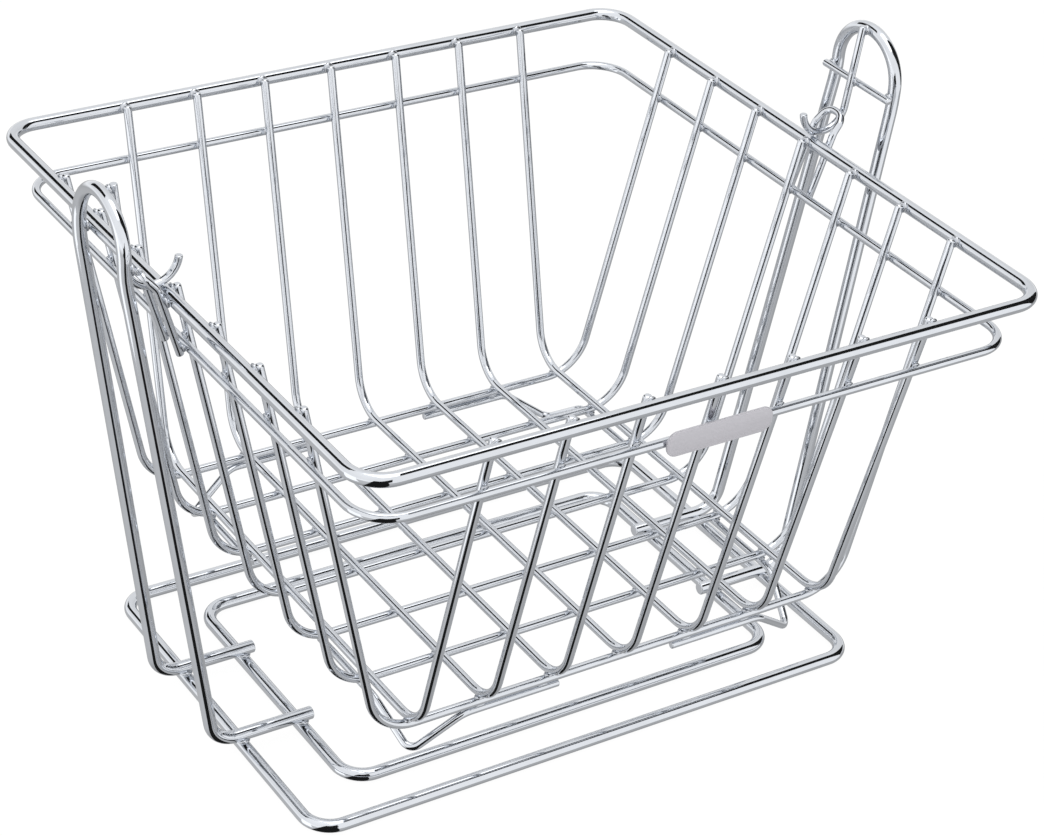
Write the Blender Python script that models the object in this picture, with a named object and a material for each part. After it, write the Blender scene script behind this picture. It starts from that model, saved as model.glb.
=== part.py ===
# A welded wire basket that swings between two hooks on a wire stand.
# Metres, +Z up, X along the front edge, Y away from the front.
# The origin is on the ground under the middle of the stand.

from math import asin, cos, pi, radians, sin

import bmesh
import bpy
from mathutils import Vector

# Wire gauges, and the gap left where two welded wires meet
HEAVY_RADIUS = 0.003
RIB_RADIUS = 0.002
FINE_RADIUS = 0.00175
WELD_GAP = 0.0003
HEAVY_SIDES = 12
LIGHT_SIDES = 8

# Steps in a bend, in a ring's corner and in a half turn
BEND_STEPS = 5
CORNER_STEPS = 6
ARCH_STEPS = 12
HOOK_STEPS = 11

# Basket rim, and the thinner ring below it
RIM_HALF = 0.165
BASKET_DEPTH = 0.1682
RIM_CORNER = 0.015
RING_DROP = 0.0235
RING_CORNER = 0.018

# Ribs: each one is a U, and width ribs run left to right under the depth ribs
RIB_COUNT = 7
WIDTH_TAPER = 0.0445
DEPTH_TAPER = 0.046
WIDTH_RIB_INSET = 0.0104
DEPTH_RIB_INSET = 0.0146
FLOOR_HEIGHT = 0.0568
WIDTH_RIB_BEND = 0.023
DEPTH_RIB_BEND = 0.020
RIB_END_RISE = 0.0013

# Corner feet: a bent wire whose two arms lie under the outermost ribs
FOOT_SETBACK = 0.028
FOOT_ARM = 0.048
FOOT_TIP_INSET = 0.0055
FOOT_TIP_DROP = 0.01625
FOOT_BEND = 0.012
FOOT_TIP_BEND = 0.005

# Base rings, one inside the other, both a little to the right of the middle
OUTER_HALF_WIDTH = 0.144
OUTER_HALF_DEPTH = 0.097
SIDE_SPACE = 0.0297
FRONT_SPACE = 0.0242
BASE_CORNER = 0.013
BASE_SHIFT = 0.003

# Uprights: a hairpin whose legs spread downwards and turn inwards as feet
UPRIGHT_GAP = 0.028
TOE_OVERHANG = 0.0117
FOOT_OVERRUN = 0.0076
UPRIGHT_HALF_STANCE = 0.0284
UPRIGHT_ARCH = 0.021
UPRIGHT_TOE_BEND = 0.013
SHOULDER_DROP = 0.003
SHOULDER_BEND = 0.060
ARCH_RISE = 0.0252

# Crossbar: inside the pair of legs, flush with their outer sides
CROSSBAR_RISE = 0.01125

# Hook: drops from the arch over the crossbar and turns up towards the basket
HOOK_TOP_RISE = 0.002
HOOK_ARCH_GAP = 0.0009
HOOK_BEND = 0.012
HOOK_NEST = 0.002
HOOK_TIP_ANGLE = radians(176)

# Hanger eye: a narrow inverted U outside the rim, which rests in the hook
EYE_HALF_GAP = 0.007
EYE_ARCH = 0.0058
EYE_TAIL = 0.0025
EYE_NECK_RISE = 0.008
EYE_NECK_BEND = 0.006
EYE_SEAT_ANGLE = radians(25)

# Label plate on the front of the second ring
PLATE_LENGTH = 0.052
PLATE_WIDTH = 0.0115
PLATE_THICKNESS = 0.0012
PLATE_CORNER = 0.005
PLATE_OFFSET = 0.0015
PLATE_CORNER_STEPS = 5

# Finishes as linear colour, metallic and roughness
PLATED_WIRE = ((0.78, 0.79, 0.82), 1.0, 0.08)
PLAIN_PLATE = ((0.62, 0.60, 0.63), 1.0, 0.35)

# Heights and reaches that follow from the sizes above; the depth ribs lie on the width ribs
RIM_HEIGHT = FLOOR_HEIGHT + BASKET_DEPTH
RING_HEIGHT = RIM_HEIGHT - RING_DROP
FLOOR_HALF_WIDTH = RIM_HALF - WIDTH_TAPER
FLOOR_HALF_DEPTH = RIM_HALF - DEPTH_TAPER
DEPTH_FLOOR_HEIGHT = FLOOR_HEIGHT + RIB_RADIUS + RIB_RADIUS + WELD_GAP
RIB_SPAN = (RIB_COUNT - 1) / 2
WIDTH_RIB_PITCH = (FLOOR_HALF_DEPTH - WIDTH_RIB_INSET) / RIB_SPAN
DEPTH_RIB_PITCH = (FLOOR_HALF_WIDTH - DEPTH_RIB_INSET) / RIB_SPAN
BASE_HEIGHT = HEAVY_RADIUS * cos(pi / HEAVY_SIDES)
INNER_HALF_WIDTH = OUTER_HALF_WIDTH - SIDE_SPACE
INNER_HALF_DEPTH = OUTER_HALF_DEPTH - FRONT_SPACE
UPRIGHT_TOE_OUT = OUTER_HALF_WIDTH + TOE_OVERHANG
UPRIGHT_FOOT_END = INNER_HALF_WIDTH - FOOT_OVERRUN
UPRIGHT_TOP_OUT = RIM_HALF + UPRIGHT_GAP
HOOK_TURN_HEIGHT = RIM_HEIGHT + HEAVY_RADIUS + FINE_RADIUS + HOOK_BEND - HOOK_NEST
CROSSBAR_HEIGHT = HOOK_TURN_HEIGHT + CROSSBAR_RISE
UPRIGHT_TOP_HEIGHT = CROSSBAR_HEIGHT + ARCH_RISE

# Wires seen in section are worked out as (out, up) pairs: out from the middle and up from the ground
RIM_SECTION = Vector((RIM_HALF, RIM_HEIGHT))


def seat_line(lower, lower_gap, upper, upper_gap, side):
    """Two (out, up) points of a straight wire that passes two others at these gaps.
    side is 1 for a wire outside them and -1 for one inside."""
    run = upper - lower
    along = run.normalized()
    across = Vector((along.y, -along.x)) * side
    turn = asin((upper_gap - lower_gap) / run.length)
    normal = across * cos(turn) - along * sin(turn)
    return lower + normal * lower_gap, upper + normal * upper_gap


def rounded_path(corners, bends, steps=BEND_STEPS):
    """The points of a wire bent at each inner corner to the radius given for it."""
    corners = [Vector(corner) for corner in corners]
    path = [corners[0]]
    for before, corner, after, bend in zip(corners, corners[1:], corners[2:], bends):
        back = (before - corner).normalized()
        ahead = (after - corner).normalized()
        half = back.angle(ahead) / 2
        middle = corner + (back + ahead).normalized() * (bend / sin(half))
        start = corner + back * (bend * cos(half) / sin(half)) - middle
        end = corner + ahead * (bend * cos(half) / sin(half)) - middle
        path += [middle + start.slerp(end, step / steps) * bend for step in range(steps + 1)]
    path.append(corners[-1])
    return path


def ring_path(half_width, half_depth, corner):
    """The points of a flat ring with round corners, about its own middle."""
    path = []
    for turn, (x, y) in enumerate(((1, 1), (-1, 1), (-1, -1), (1, -1))):
        middle = Vector((x * (half_width - corner), y * (half_depth - corner), 0))
        for step in range(CORNER_STEPS + 1):
            angle = (turn + step / CORNER_STEPS) * pi / 2
            path.append(middle + Vector((cos(angle), sin(angle), 0)) * corner)
    return path


def wire(name, path, radius, sides, closed=False, upright=False):
    """A round wire as a curve with a bevel; level wires keep a flat of their section facing down."""
    curve = bpy.data.curves.new(name, "CURVE")
    curve.dimensions = "3D"
    curve.twist_mode = "MINIMUM" if upright else "Z_UP"
    curve.bevel_depth = radius
    curve.bevel_resolution = sides // 2 - 2
    curve.use_fill_caps = not closed
    spline = curve.splines.new("POLY")
    spline.points.add(len(path) - 1)
    for spot, point in zip(spline.points, path):
        spot.co = (*point, 1)
        spot.tilt = pi / sides
    spline.use_cyclic_u = closed
    return curve


def place(name, shape, finish, spot=(0, 0, 0), parent=None):
    """Adds one named piece with a material of its own, at a spot in the whole object's frame."""
    colour, metallic, roughness = finish
    material = bpy.data.materials.new(name + "_finish")
    material.use_nodes = True
    shader = material.node_tree.nodes["Principled BSDF"]
    shader.inputs["Base Color"].default_value = (*colour, 1)
    shader.inputs["Metallic"].default_value = metallic
    shader.inputs["Roughness"].default_value = roughness
    piece = bpy.data.objects.new(name, shape)
    bpy.context.collection.objects.link(piece)
    piece.location = Vector(spot) - (parent.location if parent else Vector())
    piece.parent = parent
    piece.data.materials.append(material)
    return piece


def rib_section(floor_half, floor_height):
    """Half a rib in section: its end above the rim, its corner with the floor, and its wall's slope."""
    corner = Vector((floor_half, floor_height))
    gap = HEAVY_RADIUS + RIB_RADIUS + WELD_GAP
    foot, seat = seat_line(corner, 0, RIM_SECTION, gap, -1)
    slope = (seat - foot).normalized()
    return seat + slope * RIB_END_RISE, corner, slope


def ring_reach(floor_half, floor_height):
    """How far out the second ring lies, so that it touches the outside of these ribs."""
    end, corner, slope = rib_section(floor_half, floor_height)
    wall = corner.x + (RING_HEIGHT - corner.y) * slope.x / slope.y
    return wall + (RIB_RADIUS + RIB_RADIUS + WELD_GAP) / slope.y


def hook_section():
    """The hook's top end, the start of its turn and the middle of its turn, in section."""
    bar_seat = FINE_RADIUS + FINE_RADIUS + WELD_GAP
    arch_seat = HEAVY_RADIUS + FINE_RADIUS + HOOK_ARCH_GAP
    crossbar = Vector((crossbar_out(), CROSSBAR_HEIGHT))
    arch = Vector((UPRIGHT_TOP_OUT, UPRIGHT_TOP_HEIGHT))
    low, high = seat_line(crossbar, bar_seat, arch, arch_seat, -1)
    along = (high - low).normalized()
    top = high + along * HOOK_TOP_RISE
    turn = low - along * ((low.y - HOOK_TURN_HEIGHT) / along.y)
    middle = turn + Vector((-along.y, along.x)) * HOOK_BEND
    return top, turn, middle


def crossbar_out():
    return UPRIGHT_TOP_OUT - HEAVY_RADIUS - FINE_RADIUS - WELD_GAP


def hook_spot(reach, angle):
    """A point at this reach from the middle of the hook's turn, this far below level."""
    top, turn, middle = hook_section()
    return middle + Vector((cos(angle), -sin(angle))) * reach


def add_rings(hang):
    rim = wire("top_rim", ring_path(RIM_HALF, RIM_HALF, RIM_CORNER), HEAVY_RADIUS, HEAVY_SIDES, True)
    place("top_rim", rim, PLATED_WIRE, (0, 0, RIM_HEIGHT), hang)
    half_width = ring_reach(FLOOR_HALF_WIDTH, FLOOR_HEIGHT)
    half_depth = ring_reach(FLOOR_HALF_DEPTH, DEPTH_FLOOR_HEIGHT)
    path = ring_path(half_width, half_depth, RING_CORNER)
    ring = wire("second_ring", path, RIB_RADIUS, LIGHT_SIDES, True)
    place("second_ring", ring, PLATED_WIRE, (0, 0, RING_HEIGHT), hang)


def add_ribs(hang):
    """Seven ribs each way, numbered from the front and from the left."""
    end, corner, slope = rib_section(FLOOR_HALF_WIDTH, FLOOR_HEIGHT)
    corners = [(side * out, 0, up) for side, (out, up) in ((-1, end), (-1, corner), (1, corner), (1, end))]
    width_path = rounded_path(corners, (WIDTH_RIB_BEND, WIDTH_RIB_BEND))
    end, corner, slope = rib_section(FLOOR_HALF_DEPTH, DEPTH_FLOOR_HEIGHT)
    corners = [(0, side * out, up) for side, (out, up) in ((-1, end), (-1, corner), (1, corner), (1, end))]
    depth_path = rounded_path(corners, (DEPTH_RIB_BEND, DEPTH_RIB_BEND))
    for count in range(RIB_COUNT):
        name = f"width_rib_{count + 1}"
        rib = wire(name, width_path, RIB_RADIUS, LIGHT_SIDES)
        place(name, rib, PLATED_WIRE, (0, (count - RIB_SPAN) * WIDTH_RIB_PITCH, 0), hang)
        name = f"depth_rib_{count + 1}"
        rib = wire(name, depth_path, RIB_RADIUS, LIGHT_SIDES)
        place(name, rib, PLATED_WIRE, ((count - RIB_SPAN) * DEPTH_RIB_PITCH, 0, 0), hang)


def add_corner_foot(name, side, end, hang):
    """One foot: arm under the outermost width rib, down to a tip, back along the depth rib."""
    across = RIB_SPAN * DEPTH_RIB_PITCH
    back = RIB_SPAN * WIDTH_RIB_PITCH
    level = FLOOR_HEIGHT - RIB_RADIUS - FINE_RADIUS - WELD_GAP
    corners = (
        (across - FOOT_SETBACK - FOOT_ARM, back, level),
        (across - FOOT_SETBACK, back, level),
        (across - FOOT_TIP_INSET, back - FOOT_TIP_INSET, level - FOOT_TIP_DROP),
        (across, back - FOOT_SETBACK, level),
        (across, back - FOOT_SETBACK - FOOT_ARM, level),
    )
    corners = [(side * x, end * y, z) for x, y, z in corners]
    path = rounded_path(corners, (FOOT_BEND, FOOT_TIP_BEND, FOOT_BEND))
    place(name, wire(name, path, FINE_RADIUS, LIGHT_SIDES), PLATED_WIRE, (0, 0, 0), hang)


def add_eye(name, side, hang):
    """One hanger eye: tails outside ring and rim, a neck leaning out, and an arch round the hook."""
    ring = Vector((ring_reach(FLOOR_HALF_WIDTH, FLOOR_HEIGHT), RING_HEIGHT))
    ring_gap = RIB_RADIUS + FINE_RADIUS + WELD_GAP
    rim_gap = HEAVY_RADIUS + FINE_RADIUS + WELD_GAP
    low, high = seat_line(ring, ring_gap, RIM_SECTION, rim_gap, 1)
    along = (high - low).normalized()
    tail = low - along * EYE_TAIL
    neck = high + along * EYE_NECK_RISE
    bar = hook_spot(HOOK_BEND - FINE_RADIUS - FINE_RADIUS - WELD_GAP, EYE_SEAT_ANGLE)
    lean = (bar - neck).normalized()
    middle = bar - lean * EYE_ARCH
    arch = []
    for step in range(ARCH_STEPS + 1):
        angle = step / ARCH_STEPS * pi
        out, up = middle + lean * (EYE_ARCH * sin(angle))
        arch.append(Vector((side * out, EYE_ARCH * cos(angle), up)))
    half_gaps = (EYE_HALF_GAP, EYE_HALF_GAP, EYE_ARCH)
    rear = [(side * out, gap, up) for (out, up), gap in zip((tail, neck, middle), half_gaps)]
    front = [(x, -y, z) for x, y, z in reversed(rear)]
    path = rounded_path(rear, [EYE_NECK_BEND])[:-1] + arch + rounded_path(front, [EYE_NECK_BEND])[1:]
    eye = wire(name, path, FINE_RADIUS, LIGHT_SIDES, upright=True)
    place(name, eye, PLATED_WIRE, (0, 0, 0), hang)


def add_plate(hang):
    """A bare plate with round corners, flat against the front of the second ring."""
    shape = bmesh.new()
    half_length = PLATE_LENGTH / 2 - PLATE_CORNER
    half_width = PLATE_WIDTH / 2 - PLATE_CORNER
    outline = []
    for turn, (x, z) in enumerate(((1, 1), (-1, 1), (-1, -1), (1, -1))):
        for step in range(PLATE_CORNER_STEPS + 1):
            angle = (turn + step / PLATE_CORNER_STEPS) * pi / 2
            out = x * half_length + PLATE_CORNER * cos(angle)
            up = z * half_width + PLATE_CORNER * sin(angle)
            outline.append(shape.verts.new((out, 0, up)))
    front = shape.faces.new(outline)
    grown = bmesh.ops.extrude_face_region(shape, geom=[front])
    moved = [part for part in grown["geom"] if isinstance(part, bmesh.types.BMVert)]
    bmesh.ops.translate(shape, verts=moved, vec=(0, PLATE_THICKNESS, 0))
    bmesh.ops.recalc_face_normals(shape, faces=shape.faces)
    mesh = bpy.data.meshes.new("label_plate")
    shape.to_mesh(mesh)
    shape.free()
    ring_face = ring_reach(FLOOR_HALF_DEPTH, DEPTH_FLOOR_HEIGHT) + RIB_RADIUS
    front_face = ring_face + WELD_GAP + PLATE_THICKNESS
    place("label_plate", mesh, PLAIN_PLATE, (PLATE_OFFSET, -front_face, RING_HEIGHT), hang)


def add_base():
    for name, half_width, half_depth in (
        ("base_outer_ring", OUTER_HALF_WIDTH, OUTER_HALF_DEPTH),
        ("base_inner_ring", INNER_HALF_WIDTH, INNER_HALF_DEPTH),
    ):
        path = ring_path(half_width, half_depth, BASE_CORNER)
        ring = wire(name, path, HEAVY_RADIUS, HEAVY_SIDES, True)
        place(name, ring, PLATED_WIRE, (BASE_SHIFT, 0, BASE_HEIGHT))


def add_upright(name, side):
    """One hairpin: foot, leg, shoulder, arch and back down, welded on top of both base rings."""
    foot_height = BASE_HEIGHT + HEAVY_RADIUS + HEAVY_RADIUS + WELD_GAP
    spring = UPRIGHT_TOP_HEIGHT - UPRIGHT_ARCH
    shoulder = CROSSBAR_HEIGHT - SHOULDER_DROP
    rear = (
        (UPRIGHT_FOOT_END, UPRIGHT_HALF_STANCE, foot_height),
        (UPRIGHT_TOE_OUT, UPRIGHT_HALF_STANCE, foot_height),
        (UPRIGHT_TOP_OUT, UPRIGHT_ARCH, shoulder),
        (UPRIGHT_TOP_OUT, UPRIGHT_ARCH, spring),
    )
    rear = rounded_path(rear, (UPRIGHT_TOE_BEND, SHOULDER_BEND))
    arch = []
    for step in range(1, ARCH_STEPS):
        angle = step / ARCH_STEPS * pi
        y = UPRIGHT_ARCH * cos(angle)
        arch.append(Vector((UPRIGHT_TOP_OUT, y, spring + UPRIGHT_ARCH * sin(angle))))
    front = [Vector((x, -y, z)) for x, y, z in reversed(rear)]
    path = [(side * x, y, z) for x, y, z in rear + arch + front]
    upright = wire(name, path, HEAVY_RADIUS, HEAVY_SIDES, upright=True)
    place(name, upright, PLATED_WIRE)


def add_crossbar(name, side):
    half_length = UPRIGHT_ARCH + HEAVY_RADIUS
    bar = wire(name, ((0, -half_length, 0), (0, half_length, 0)), FINE_RADIUS, LIGHT_SIDES)
    place(name, bar, PLATED_WIRE, (side * crossbar_out(), 0, CROSSBAR_HEIGHT))


def add_hook(name, side):
    """One hook: a straight drop, then a turn that ends with its tip up beside the eye."""
    top, turn, middle = hook_section()
    start = turn - middle
    start_angle = -asin(start.y / HOOK_BEND)
    path = [(side * top.x, 0, top.y)]
    for step in range(HOOK_STEPS + 1):
        angle = start_angle + (HOOK_TIP_ANGLE - start_angle) * step / HOOK_STEPS
        out, up = hook_spot(HOOK_BEND, angle)
        path.append((side * out, 0, up))
    place(name, wire(name, path, FINE_RADIUS, LIGHT_SIDES, upright=True), PLATED_WIRE)


def add_stand():
    add_base()
    for name, side in (("left", -1), ("right", 1)):
        add_upright(name + "_upright", side)
        add_crossbar(name + "_crossbar", side)
        add_hook(name + "_hook", side)


def add_basket():
    """Everything that swings, under an empty on the line through both hooks."""
    hang = bpy.data.objects.new("swing_axis", None)
    bpy.context.collection.objects.link(hang)
    hang.location = (0, 0, hook_spot(HOOK_BEND, EYE_SEAT_ANGLE).y)
    add_rings(hang)
    add_ribs(hang)
    for end_name, end in (("front", -1), ("back", 1)):
        for side_name, side in (("left", -1), ("right", 1)):
            add_corner_foot(f"{end_name}_{side_name}_foot", side, end, hang)
    add_eye("left_eye", -1, hang)
    add_eye("right_eye", 1, hang)
    add_plate(hang)


for startup in list(bpy.data.objects):
    bpy.data.objects.remove(startup)
add_stand()
add_basket()
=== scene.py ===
from math import cos, pi, radians, sin

import bmesh
import bpy
from mathutils import Matrix, Vector


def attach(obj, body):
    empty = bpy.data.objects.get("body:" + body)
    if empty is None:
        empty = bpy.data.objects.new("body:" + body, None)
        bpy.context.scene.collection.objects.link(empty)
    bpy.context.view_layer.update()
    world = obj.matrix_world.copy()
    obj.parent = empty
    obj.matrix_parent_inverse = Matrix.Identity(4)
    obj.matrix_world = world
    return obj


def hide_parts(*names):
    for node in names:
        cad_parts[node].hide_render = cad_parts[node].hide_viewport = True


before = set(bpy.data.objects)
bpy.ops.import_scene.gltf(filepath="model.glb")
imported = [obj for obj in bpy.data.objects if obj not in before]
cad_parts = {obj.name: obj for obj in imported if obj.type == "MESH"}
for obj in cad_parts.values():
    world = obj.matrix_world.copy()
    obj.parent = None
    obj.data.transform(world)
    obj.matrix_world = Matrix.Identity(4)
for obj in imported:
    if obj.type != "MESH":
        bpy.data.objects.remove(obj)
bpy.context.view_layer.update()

# Wires: metres, +Z up, the front is at -Y
wire = {
    "heavyRadius": 0.003,
    "ribRadius": 0.002,
    "fineRadius": 0.00175,
    "sides": 28,
    "bendStep": radians(6),
    "cutRounding": 0.00045,
    "nubRounding": 0.0013,
    "capSegments": 4,
    "cutGap": 0.0003,
}


# ---- camera ----
view = {
    "azimuth": radians(-34.26),
    "elevation": radians(31.24),
    "roll": radians(4.19),
    "distance": 0.51981,
    "target": (-0.36955, -0.56479, 0.53009),
    "focalPixels": 2882.72,
    "imageWidth": 1044,
    "sensorWidth": 36.0,
}


def aimCamera():
    level = cos(view["elevation"])
    forward = Vector((-sin(view["azimuth"]) * level, cos(view["azimuth"]) * level, -sin(view["elevation"])))
    right = forward.cross(Vector((0, 0, 1))).normalized()
    up = right.cross(forward)
    turnedRight = right * cos(view["roll"]) + up * sin(view["roll"])
    turnedUp = up * cos(view["roll"]) - right * sin(view["roll"])
    camera = bpy.data.objects.new("camera", bpy.data.cameras.new("camera"))
    bpy.context.collection.objects.link(camera)
    turn = Matrix((turnedRight, turnedUp, -forward)).transposed().to_4x4()
    camera.matrix_world = Matrix.Translation(Vector(view["target"]) - forward * view["distance"]) @ turn
    camera.data.sensor_width = view["sensorWidth"]
    camera.data.lens = view["focalPixels"] / view["imageWidth"] * view["sensorWidth"]
    camera.data.clip_end = 50
    bpy.context.scene.camera = camera


aimCamera()
print("camera aimed")


# ---- metal ----
plating = {
    "colour": (0.632, 0.655, 0.693),
    "weldColour": (0.56, 0.58, 0.615),
    "plateColour": (0.53, 0.520, 0.555),
    "roughness": 0.055,
}


def newMaterial(name):
    material = bpy.data.materials.new(name)
    material.use_nodes = True
    nodes = material.node_tree.nodes
    return material, nodes, material.node_tree.links, nodes["Principled BSDF"]


def platedWire(name, colour, roughness, waviness, scale):
    material, nodes, links, shader = newMaterial(name)
    shader.inputs["Metallic"].default_value = 1
    place = nodes.new("ShaderNodeTexCoord")
    ripple = nodes.new("ShaderNodeTexNoise")
    ripple.inputs["Scale"].default_value = scale
    ripple.inputs["Detail"].default_value = 1
    links.new(place.outputs["Object"], ripple.inputs["Vector"])
    bump = nodes.new("ShaderNodeBump")
    bump.inputs["Strength"].default_value = waviness
    bump.inputs["Distance"].default_value = 0.0002
    links.new(ripple.outputs["Fac"], bump.inputs["Height"])
    links.new(bump.outputs["Normal"], shader.inputs["Normal"])
    cloud = nodes.new("ShaderNodeTexNoise")
    cloud.inputs["Scale"].default_value = 60
    cloud.inputs["Detail"].default_value = 3
    links.new(place.outputs["Object"], cloud.inputs["Vector"])
    tint = nodes.new("ShaderNodeValToRGB")
    tint.color_ramp.elements[0].position = 0.35
    tint.color_ramp.elements[0].color = (*[part * 0.95 for part in colour], 1)
    tint.color_ramp.elements[1].position = 0.65
    tint.color_ramp.elements[1].color = (*colour, 1)
    links.new(cloud.outputs["Fac"], tint.inputs["Fac"])
    links.new(tint.outputs["Color"], shader.inputs["Base Color"])
    haze = nodes.new("ShaderNodeMapRange")
    haze.inputs["To Min"].default_value = roughness * 0.7
    haze.inputs["To Max"].default_value = roughness * 1.3
    links.new(cloud.outputs["Fac"], haze.inputs["Value"])
    links.new(haze.outputs["Result"], shader.inputs["Roughness"])
    return material


def satinPlate():
    material, nodes, links, shader = newMaterial("satinPlate")
    shader.inputs["Metallic"].default_value = 0.4
    place = nodes.new("ShaderNodeTexCoord")
    stretch = nodes.new("ShaderNodeMapping")
    stretch.inputs["Scale"].default_value = (40, 900, 900)
    links.new(place.outputs["Object"], stretch.inputs["Vector"])
    grain = nodes.new("ShaderNodeTexNoise")
    grain.inputs["Scale"].default_value = 1
    grain.inputs["Detail"].default_value = 4
    links.new(stretch.outputs["Vector"], grain.inputs["Vector"])
    tint = nodes.new("ShaderNodeValToRGB")
    tint.color_ramp.elements[0].color = (*[part * 0.92 for part in plating["plateColour"]], 1)
    tint.color_ramp.elements[1].color = (*plating["plateColour"], 1)
    links.new(grain.outputs["Fac"], tint.inputs["Fac"])
    links.new(tint.outputs["Color"], shader.inputs["Base Color"])
    haze = nodes.new("ShaderNodeMapRange")
    haze.inputs["To Min"].default_value = 0.42
    haze.inputs["To Max"].default_value = 0.54
    links.new(grain.outputs["Fac"], haze.inputs["Value"])
    links.new(haze.outputs["Result"], shader.inputs["Roughness"])
    bump = nodes.new("ShaderNodeBump")
    bump.inputs["Strength"].default_value = 0.12
    bump.inputs["Distance"].default_value = 0.0001
    links.new(grain.outputs["Fac"], bump.inputs["Height"])
    links.new(bump.outputs["Normal"], shader.inputs["Normal"])
    return material


wireChrome = platedWire("wireChrome", plating["colour"], plating["roughness"], 0.05, 45)
weldChrome = platedWire("weldChrome", plating["weldColour"], 0.24, 0.05, 500)
plateMetal = satinPlate()
print("metals ready")


# ---- making wires ----
def startWire(mesh, spot, heading, radius, closed=False):
    turn = heading.to_track_quat("Z", "Y").to_matrix().to_4x4()
    place = Matrix.Translation(spot) @ turn
    made = bmesh.ops.create_circle(mesh, cap_ends=not closed, segments=wire["sides"], radius=radius, matrix=place)
    rim = {edge for vert in made["verts"] for edge in vert.link_edges}
    return list(rim)


def pushWire(mesh, rim, step):
    if step.length < 1e-7:
        return rim
    grown = bmesh.ops.extrude_edge_only(mesh, edges=rim)["geom"]
    bmesh.ops.translate(mesh, verts=[part for part in grown if isinstance(part, bmesh.types.BMVert)], vec=step)
    return [part for part in grown if isinstance(part, bmesh.types.BMEdge) and part.is_boundary]


def turnWire(mesh, rim, centre, axis, angle):
    steps = max(2, round(angle / wire["bendStep"]))
    turned = bmesh.ops.spin(mesh, geom=rim, cent=centre, axis=axis, angle=angle, steps=steps, use_duplicate=False)
    return [part for part in turned["geom_last"] if isinstance(part, bmesh.types.BMEdge)]


def bendWire(mesh, corners, bends, radius, closed=False):
    # each inner corner is rounded to its own bend radius
    corners = [Vector(corner) for corner in corners]
    spot = corners[0]
    rim = startWire(mesh, spot, (corners[1] - spot).normalized(), radius, closed)
    ends = list(rim)
    for before, corner, after, bend in zip(corners, corners[1:], corners[2:], bends):
        back = (before - corner).normalized()
        ahead = (after - corner).normalized()
        half = back.angle(ahead) / 2
        reach = bend * cos(half) / sin(half)
        centre = corner + (back + ahead).normalized() * (bend / sin(half))
        rim = pushWire(mesh, rim, corner + back * reach - spot)
        rim = turnWire(mesh, rim, centre, ahead.cross(back), pi - half * 2)
        spot = corner + ahead * reach
    rim = pushWire(mesh, rim, corners[-1] - spot)
    return ends, rim


def closeWire(mesh, rims, rounding):
    # a cap on each open end, with its edge rounded over
    bmesh.ops.holes_fill(mesh, edges=[edge for rim in rims for edge in rim if edge.is_boundary])
    edges = [edge for rim in rims for edge in rim]
    bmesh.ops.bevel(
        mesh, geom=edges, offset=rounding, segments=wire["capSegments"], affect="EDGES",
        profile=0.5, material=-1, clamp_overlap=True,
    )


def finishPiece(mesh, name, node, body, material):
    bmesh.ops.remove_doubles(mesh, verts=mesh.verts, dist=1e-6)
    bmesh.ops.recalc_face_normals(mesh, faces=mesh.faces)
    data = bpy.data.meshes.new(name)
    mesh.to_mesh(data)
    mesh.free()
    data.shade_smooth()
    data.materials.append(material)
    piece = bpy.data.objects.new(name, data)
    bpy.context.collection.objects.link(piece)
    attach(piece, body)
    if node:
        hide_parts(node)
    return piece


def openWire(name, node, body, corners, bends, radius, rounding):
    mesh = bmesh.new()
    closeWire(mesh, bendWire(mesh, corners, bends, radius), rounding)
    return finishPiece(mesh, name, node, body, wireChrome)


def ringWire(name, node, body, halfWidth, halfDepth, corner, height, radius, shift=0):
    left, right = shift - halfWidth, shift + halfWidth
    corners = (
        (shift, -halfDepth, height), (right, -halfDepth, height), (right, halfDepth, height),
        (left, halfDepth, height), (left, -halfDepth, height), (shift, -halfDepth, height),
    )
    mesh = bmesh.new()
    bendWire(mesh, corners, [corner] * 4, radius, closed=True)
    return finishPiece(mesh, name, node, body, wireChrome)


# ---- basket ----
basket = {
    "rimHalf": 0.165, "rimHeight": 0.225, "rimCorner": 0.015,
    "ringHalfWidth": 0.158516, "ringHalfDepth": 0.158157, "ringHeight": 0.2015, "ringCorner": 0.018,
    "ribCount": 7,
    "widthPitch": 0.0362, "widthEnd": (0.160131, 0.227465), "widthFloor": (0.1205, 0.0568), "widthBend": 0.023,
    "depthPitch": 0.0353, "depthEnd": (0.160167, 0.227535), "depthFloor": (0.119, 0.0611), "depthBend": 0.020,
}
ribSpan = (basket["ribCount"] - 1) / 2
widthRibs = [(count - ribSpan) * basket["widthPitch"] for count in range(basket["ribCount"])]
depthRibs = [(count - ribSpan) * basket["depthPitch"] for count in range(basket["ribCount"])]

ringWire("rim_wire", "top_rim", "basket", basket["rimHalf"], basket["rimHalf"],
         basket["rimCorner"], basket["rimHeight"], wire["heavyRadius"])
ringWire("ring_wire", "second_ring", "basket", basket["ringHalfWidth"], basket["ringHalfDepth"],
         basket["ringCorner"], basket["ringHeight"], wire["ribRadius"])
for count, (y, x) in enumerate(zip(widthRibs, depthRibs), 1):
    (endOut, endUp), (floorOut, floorUp) = basket["widthEnd"], basket["widthFloor"]
    corners = ((-endOut, y, endUp), (-floorOut, y, floorUp), (floorOut, y, floorUp), (endOut, y, endUp))
    openWire(f"width_wire_{count}", f"width_rib_{count}", "basket", corners,
             [basket["widthBend"]] * 2, wire["ribRadius"], wire["nubRounding"])
    (endOut, endUp), (floorOut, floorUp) = basket["depthEnd"], basket["depthFloor"]
    corners = ((x, -endOut, endUp), (x, -floorOut, floorUp), (x, floorOut, floorUp), (x, endOut, endUp))
    openWire(f"depth_wire_{count}", f"depth_rib_{count}", "basket", corners,
             [basket["depthBend"]] * 2, wire["ribRadius"], wire["nubRounding"])
print("basket rings and ribs made")

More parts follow.
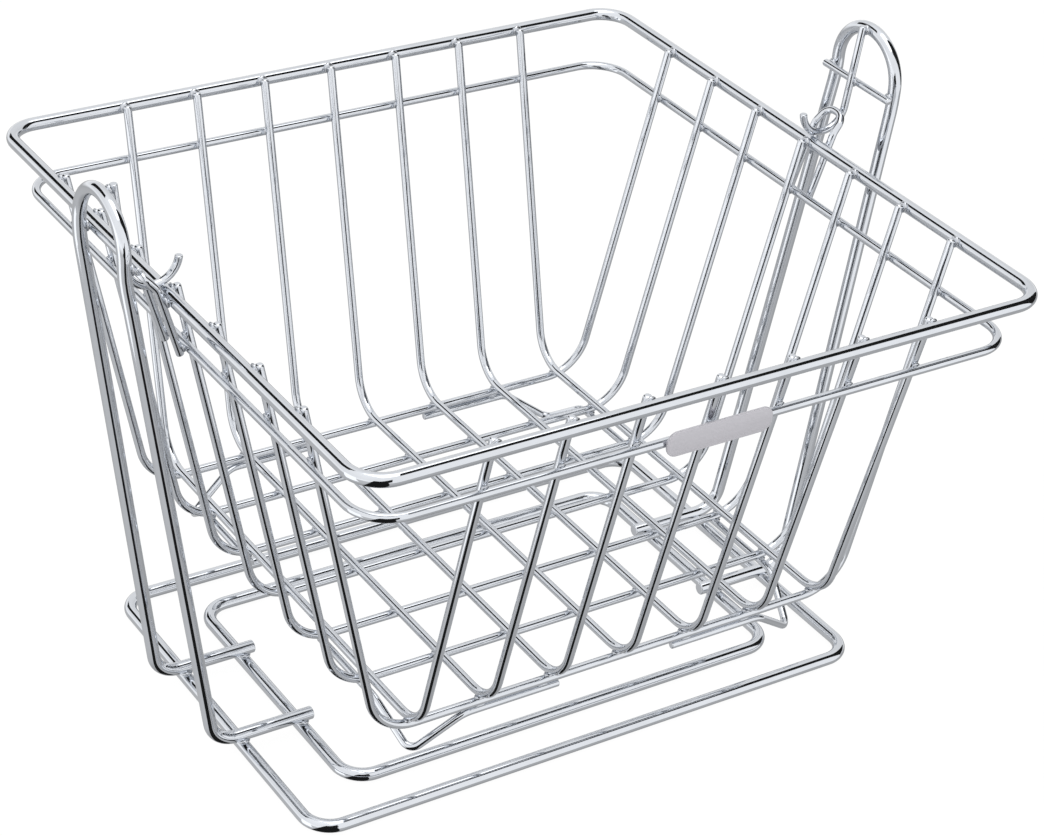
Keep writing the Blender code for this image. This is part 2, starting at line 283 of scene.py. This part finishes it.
foot = {
    "armEnd": 0.0299, "armBend": 0.0779, "tip": 0.1004, "across": 0.1059,
    "rearEnd": 0.0326, "rearBend": 0.0806, "rearTip": 0.1031, "back": 0.1086,
    "level": 0.05275, "tipHeight": 0.0365, "bends": (0.012, 0.005, 0.012),
}
for endName, end in (("front", -1), ("back", 1)):
    for sideName, side in (("left", -1), ("right", 1)):
        corners = (
            (foot["armEnd"], foot["back"], foot["level"]),
            (foot["armBend"], foot["back"], foot["level"]),
            (foot["tip"], foot["rearTip"], foot["tipHeight"]),
            (foot["across"], foot["rearBend"], foot["level"]),
            (foot["across"], foot["rearEnd"], foot["level"]),
        )
        corners = [(side * x, end * y, z) for x, y, z in corners]
        openWire(f"{endName}_{sideName}_foot_wire", f"{endName}_{sideName}_foot", "basket", corners,
                 foot["bends"], wire["fineRadius"], wire["cutRounding"])
print("basket feet made")

eye = {
    "tail": (0.16161, 0.197883), "neck": (0.172251, 0.231076), "bar": (0.178224, 0.237789),
    "halfGap": 0.007, "archHalf": 0.0058, "neckBend": 0.006,
}
for sideName, side in (("left", -1), ("right", 1)):
    rear = [(*eye[part], eye["halfGap"]) for part in ("tail", "neck")] + [(*eye["bar"], eye["archHalf"])]
    rear = [(side * out, y, up) for out, up, y in rear]
    front = [(x, -y, z) for x, y, z in reversed(rear)]
    openWire(f"{sideName}_eye_wire", f"{sideName}_eye", "basket", rear + front,
             (eye["neckBend"], eye["archHalf"], eye["archHalf"], eye["neckBend"]),
             wire["fineRadius"], wire["cutRounding"])
print("eyes made")

plate = {
    "middle": (0.0015, -0.161057, 0.2015), "length": 0.052, "width": 0.0115, "thickness": 0.0012,
    "corner": 0.005, "edge": 0.0003,
}


def makePlate():
    mesh = bmesh.new()
    turn = Matrix.Translation(plate["middle"]) @ Matrix.Rotation(pi / 2, 4, "X")
    size = Matrix.Diagonal((plate["length"] / 2, plate["width"] / 2, 1, 1))
    bmesh.ops.create_grid(mesh, x_segments=1, y_segments=1, size=1, matrix=turn @ size)
    bmesh.ops.bevel(mesh, geom=list(mesh.verts), offset=plate["corner"], segments=10, affect="VERTICES",
                    profile=0.5, material=-1)
    grown = bmesh.ops.extrude_face_region(mesh, geom=list(mesh.faces))
    moved = [part for part in grown["geom"] if isinstance(part, bmesh.types.BMVert)]
    bmesh.ops.translate(mesh, verts=moved, vec=(0, plate["thickness"], 0))
    bmesh.ops.translate(mesh, verts=mesh.verts, vec=(0, -plate["thickness"] / 2, 0))
    bmesh.ops.recalc_face_normals(mesh, faces=mesh.faces)
    edges = [edge for edge in mesh.edges if len(edge.link_faces) == 2 and edge.calc_face_angle() > 1.2]
    bmesh.ops.bevel(mesh, geom=edges, offset=plate["edge"], segments=3, affect="EDGES", profile=0.5, material=-1)
    finishPiece(mesh, "plate_blank", "label_plate", "basket", plateMetal)


makePlate()
print("label plate made")

# ---- stand ----
base = {
    "outerHalfWidth": 0.144, "outerHalfDepth": 0.097, "innerHalfWidth": 0.1143, "innerHalfDepth": 0.0728,
    "corner": 0.013, "shift": 0.003,
}
ringWire("outer_base_wire", "base_outer_ring", "root", base["outerHalfWidth"], base["outerHalfDepth"],
         base["corner"], wire["heavyRadius"], wire["heavyRadius"], base["shift"])
ringWire("inner_base_wire", "base_inner_ring", "root", base["innerHalfWidth"], base["innerHalfDepth"],
         base["corner"], wire["heavyRadius"], wire["heavyRadius"], base["shift"])

upright = {
    "footEnd": 0.1067, "toe": 0.1557, "footHeight": 0.009198, "halfStance": 0.0284,
    "topOut": 0.193, "shoulder": 0.248, "top": 0.2762, "arch": 0.021,
    "toeBend": 0.013, "shoulderBend": 0.060,
}
for sideName, side in (("left", -1), ("right", 1)):
    rear = (
        (upright["footEnd"], upright["halfStance"], upright["footHeight"]),
        (upright["toe"], upright["halfStance"], upright["footHeight"]),
        (upright["topOut"], upright["arch"], upright["shoulder"]),
        (upright["topOut"], upright["arch"], upright["top"]),
    )
    rear = [(side * x, y, z) for x, y, z in rear]
    front = [(x, -y, z) for x, y, z in reversed(rear)]
    halfBends = (upright["toeBend"], upright["shoulderBend"], upright["arch"])
    openWire(f"{sideName}_upright_wire", f"{sideName}_upright", "root", rear + front,
             (*halfBends, *reversed(halfBends)), wire["heavyRadius"], wire["cutRounding"])

crossbar = {"out": 0.18795, "height": 0.251, "halfLength": 0.024}
for sideName, side in (("left", -1), ("right", 1)):
    corners = [(side * crossbar["out"], end * crossbar["halfLength"], crossbar["height"]) for end in (-1, 1)]
    openWire(f"{sideName}_crossbar_wire", f"{sideName}_crossbar", "root", corners, (),
             wire["fineRadius"], wire["cutRounding"])

hook = {"top": (0.187645, 0.278893), "turn": (0.182698, 0.23975), "middle": (0.170792, 0.241255), "sweep": radians(168.8)}
for sideName, side in (("left", -1), ("right", 1)):
    top, turn, middle = [Vector((side * hook[part][0], 0, hook[part][1])) for part in ("top", "turn", "middle")]
    mesh = bmesh.new()
    rim = startWire(mesh, top, (turn - top).normalized(), wire["fineRadius"])
    ends = list(rim)
    rim = pushWire(mesh, rim, turn - top)
    rim = turnWire(mesh, rim, middle, (0, side, 0), hook["sweep"])
    closeWire(mesh, (ends, rim), wire["cutRounding"])
    finishPiece(mesh, f"{sideName}_hook_wire", f"{sideName}_hook", "root", wireChrome)
print("stand made")

# ---- welds: a small fillet wherever two wires meet ----
weld = {"rows": 8, "around": 16}


def addWeld(mesh, spot, across, size, along=(0, 0, 1)):
    # across points from one wire to the other, size is (along, aside, across)
    across = Vector(across).normalized()
    along = Vector(along)
    along = (along - across * along.dot(across)).normalized()
    turn = Matrix((along, across.cross(along), across)).transposed().to_4x4()
    place = Matrix.Translation(spot) @ turn @ Matrix.Diagonal((*size, 1))
    bmesh.ops.create_uvsphere(mesh, u_segments=weld["around"], v_segments=weld["rows"], radius=1, matrix=place)


ribWeld = (0.0020, 0.0020, 0.00090)
heavyWeld = (0.0031, 0.0031, 0.0013)
mixedWeld = (0.0027, 0.0025, 0.0011)

mesh = bmesh.new()
for y in widthRibs:
    for x in depthRibs:
        addWeld(mesh, (x, y, 0.05895), (0, 0, 1), ribWeld, (1, 0, 0))
for side in (-1, 1):
    for y in widthRibs:
        addWeld(mesh, (side * 0.161932, y, 0.225713), (-side * 0.97408, 0, 0.2262), mixedWeld)
        addWeld(mesh, (side * 0.156422, y, 0.201986), (side * 0.97408, 0, -0.2262), ribWeld)
    for x in depthRibs:
        addWeld(mesh, (x, side * 0.161942, 0.225756), (0, -side * 0.97075, 0.24011), mixedWeld)
        addWeld(mesh, (x, side * 0.15607, 0.202016), (0, side * 0.97075, -0.24011), ribWeld)
    for end in (-1, 1):
        addWeld(mesh, (side * 0.160563, end * eye["halfGap"], 0.200844), (side * 0.9523, 0, -0.3053), ribWeld)
        addWeld(mesh, (side * 0.168, end * eye["halfGap"], 0.224038), (side * 0.9523, 0, -0.3053), mixedWeld)
        for x in (0.0379, 0.0699):
            addWeld(mesh, (side * x, end * foot["back"], 0.05465), (0, 0, 1), (0.0030, 0.0012, 0.0009), (1, 0, 0))
        for y in (0.0362, 0.0724):
            addWeld(mesh, (side * foot["across"], end * y, 0.05465), (0, 0, 1), ribWeld, (1, 0, 0))
finishPiece(mesh, "basket_welds", None, "basket", weldChrome)

mesh = bmesh.new()
for side in (-1, 1):
    for end in (-1, 1):
        for half in (base["outerHalfWidth"], base["innerHalfWidth"]):
            spot = (side * half + base["shift"], end * upright["halfStance"], 0.0061)
            addWeld(mesh, spot, (0, 0, 1), heavyWeld, (1, 0, 0))
        addWeld(mesh, (side * 0.18985, end * upright["arch"], crossbar["height"]), (side, 0, 0), mixedWeld)
    addWeld(mesh, (side * 0.186065, 0, 0.251238), (-side * 0.9921, 0, 0.1254), (0.0022, 0.0022, 0.0010))
    addWeld(mesh, (side * 0.189577, 0, 0.276633), (-side * 0.9921, 0, 0.1254), (0.0024, 0.0022, 0.0014))
finishPiece(mesh, "stand_welds", None, "root", weldChrome)
print("welds made")


# ---- studio: white backdrop, pale walls, dark cards that paint the black lines into the chrome's reflections, and bright cards that paint its highlights ----
studio = {
    "floorSize": 12.0,
    "shadow": 0.06,
    # brightness of the walls by height, as pairs of (sine of the elevation, level)
    "walls": ((-1.0, 0.42), (-0.77, 0.62), (-0.42, 0.62), (-0.21, 0.58), (-0.08, 1.05), (0.0, 1.25), (0.26, 1.05), (0.57, 1.1), (0.87, 1.2), (1.0, 1.35)),
    "brightest": 1.6,
    "sideways": (-0.14, -0.05, 0),  # how the walls grow brighter towards the left and the front
    "heart": Vector((0, 0, 0.12)),
    "black": 0.015,
}


def lightWorld():
    world = bpy.data.worlds.new("studio")
    bpy.context.scene.world = world
    world.use_nodes = True
    nodes, links = world.node_tree.nodes, world.node_tree.links
    nodes.clear()
    place = nodes.new("ShaderNodeTexCoord")
    split = nodes.new("ShaderNodeSeparateXYZ")
    links.new(place.outputs["Generated"], split.inputs["Vector"])
    height = nodes.new("ShaderNodeMapRange")
    height.inputs["From Min"].default_value = -1
    links.new(split.outputs["Z"], height.inputs["Value"])
    ramp = nodes.new("ShaderNodeValToRGB")
    stops = ramp.color_ramp.elements
    stops.remove(stops[1])
    for count, (sine, level) in enumerate(studio["walls"]):
        stop = stops[0] if count == 0 else stops.new((sine + 1) / 2)
        stop.position = (sine + 1) / 2
        stop.color = (*[level / studio["brightest"]] * 3, 1)
    links.new(height.outputs["Result"], ramp.inputs["Fac"])
    lean = nodes.new("ShaderNodeVectorMath")
    lean.operation = "DOT_PRODUCT"
    lean.inputs[1].default_value = studio["sideways"]
    links.new(place.outputs["Generated"], lean.inputs[0])
    level = nodes.new("ShaderNodeMath")
    level.operation = "MULTIPLY_ADD"
    level.inputs[1].default_value = studio["brightest"]
    links.new(ramp.outputs["Color"], level.inputs[0])
    links.new(lean.outputs["Value"], level.inputs[2])
    walls = nodes.new("ShaderNodeBackground")
    walls.inputs["Color"].default_value = (1, 1, 1, 1)
    links.new(level.outputs["Value"], walls.inputs["Strength"])
    plain = nodes.new("ShaderNodeBackground")
    plain.inputs["Color"].default_value = (1, 1, 1, 1)
    plain.inputs["Strength"].default_value = 1
    rays = nodes.new("ShaderNodeLightPath")
    mix = nodes.new("ShaderNodeMixShader")
    links.new(rays.outputs["Is Camera Ray"], mix.inputs["Fac"])
    links.new(walls.outputs["Background"], mix.inputs[1])
    links.new(plain.outputs["Background"], mix.inputs[2])
    out = nodes.new("ShaderNodeOutputWorld")
    links.new(mix.outputs["Shader"], out.inputs["Surface"])


def card(name, centre, wide, tall, halfWidth, halfHeight, level):
    # a flat glowing card that only the metal's reflections show: a painted reflection, not a lamp, casting no
    # shadow
    wide = Vector(wide).normalized()
    tall = Vector(tall)
    tall = (tall - wide * tall.dot(wide)).normalized()
    turn = Matrix((wide, tall, wide.cross(tall))).transposed().to_4x4()
    place = Matrix.Translation(centre) @ turn @ Matrix.Diagonal((halfWidth, halfHeight, 1, 1))
    mesh = bmesh.new()
    bmesh.ops.create_grid(mesh, x_segments=1, y_segments=1, size=1, matrix=place)
    data = bpy.data.meshes.new(name)
    mesh.to_mesh(data)
    mesh.free()
    sheet = bpy.data.objects.new(name, data)
    bpy.context.collection.objects.link(sheet)
    material = bpy.data.materials.new(name)
    material.use_nodes = True
    nodes = material.node_tree.nodes
    nodes.clear()
    glow = nodes.new("ShaderNodeEmission")
    glow.inputs["Color"].default_value = (1, 1, 1, 1)
    glow.inputs["Strength"].default_value = level
    out = nodes.new("ShaderNodeOutputMaterial")
    links = material.node_tree.links
    links.new(glow.outputs["Emission"], out.inputs["Surface"])
    data.materials.append(material)
    sheet.visible_camera = False
    sheet.visible_diffuse = False
    sheet.visible_shadow = False
    sheet.visible_transmission = False
    return sheet


def uprightCard(name, top, bottom, halfWidth, level):
    # a card from top to bottom that faces the basket
    top, bottom = Vector(top), Vector(bottom)
    centre = (top + bottom) / 2
    card(name, centre, (bottom - top).cross(studio["heart"] - centre), bottom - top,
         halfWidth, (bottom - top).length / 2, level)


def farCard(name, azimuth, elevation, distance, halfWidth, halfHeight, level, guide=(0, 0, 1), tilt=0):
    azimuth, elevation = radians(azimuth), radians(elevation)
    out = Vector((sin(azimuth) * cos(elevation), cos(azimuth) * cos(elevation), sin(elevation)))
    guide = Vector(guide)
    tall = (guide - out * guide.dot(out)).normalized()
    wide = tall.cross(out)
    tilt = radians(tilt)
    card(name, studio["heart"] + out * distance, wide * cos(tilt) + tall * sin(tilt),
         tall * cos(tilt) - wide * sin(tilt), halfWidth, halfHeight, level)


def layFloor():
    half = studio["floorSize"] / 2
    mesh = bmesh.new()
    bmesh.ops.create_grid(mesh, x_segments=1, y_segments=1, size=half)
    bmesh.ops.translate(mesh, verts=mesh.verts, vec=(0, 0, -0.0002))
    data = bpy.data.meshes.new("floor")
    mesh.to_mesh(data)
    mesh.free()
    floor = bpy.data.objects.new("floor", data)
    bpy.context.collection.objects.link(floor)
    material = bpy.data.materials.new("floorPaper")
    material.use_nodes = True
    nodes, links = material.node_tree.nodes, material.node_tree.links
    nodes.clear()
    paper = nodes.new("ShaderNodeBsdfDiffuse")
    paper.inputs["Color"].default_value = (0.8, 0.8, 0.8, 1)
    veil = nodes.new("ShaderNodeBsdfDiffuse")
    veil.inputs["Color"].default_value = (studio["shadow"], studio["shadow"], studio["shadow"], 1)
    glow = nodes.new("ShaderNodeEmission")
    glow.inputs["Strength"].default_value = 1 - studio["shadow"] * 0.75
    white = nodes.new("ShaderNodeAddShader")
    links.new(veil.outputs["BSDF"], white.inputs[0])
    links.new(glow.outputs["Emission"], white.inputs[1])
    rays = nodes.new("ShaderNodeLightPath")
    mix = nodes.new("ShaderNodeMixShader")
    links.new(rays.outputs["Is Camera Ray"], mix.inputs["Fac"])
    links.new(paper.outputs["BSDF"], mix.inputs[1])
    links.new(white.outputs["Shader"], mix.inputs[2])
    out = nodes.new("ShaderNodeOutputMaterial")
    links.new(mix.outputs["Shader"], out.inputs["Surface"])
    data.materials.append(material)
    floor.visible_glossy = False


lightWorld()
layFloor()
# black cards seen only in the chrome: painted black reflection lines, placed where tripod legs, a bar and a
# window would stand
tripodTop = (-0.304, -0.478, 0.293)
uprightCard("dark_leg_near", tripodTop, (-0.071, 0.115, -0.58), 0.098, studio["black"])
uprightCard("dark_leg_far", tripodTop, (-0.325, -1.139, -0.04), 0.215, studio["black"])
uprightCard("dark_bar", (0.38, -0.51, 1.45), (1.20, -0.13, 0.06), 0.36, studio["black"])
farCard("dark_window", -21, 40.5, 2.5, 0.55, 1.1, studio["black"], (0, 1, 0), 0)
# bright glowing cards seen only in the chrome: painted highlights that light nothing
farCard("left_highlight_card", -84, -14, 4, 1.16, 1.76, 1.6)
farCard("front_highlight_card", 152.6, 14.6, 5, 5.5, 4.0, 1.22)

lamp = bpy.data.objects.new("overhead", bpy.data.lights.new("overhead", "AREA"))
lamp.data.energy = 6
lamp.data.size = 1.2
lamp.location = (0.2, -0.3, 1.7)
bpy.context.collection.objects.link(lamp)
print("studio lit")

bpy.context.scene.view_settings.view_transform = "Standard"
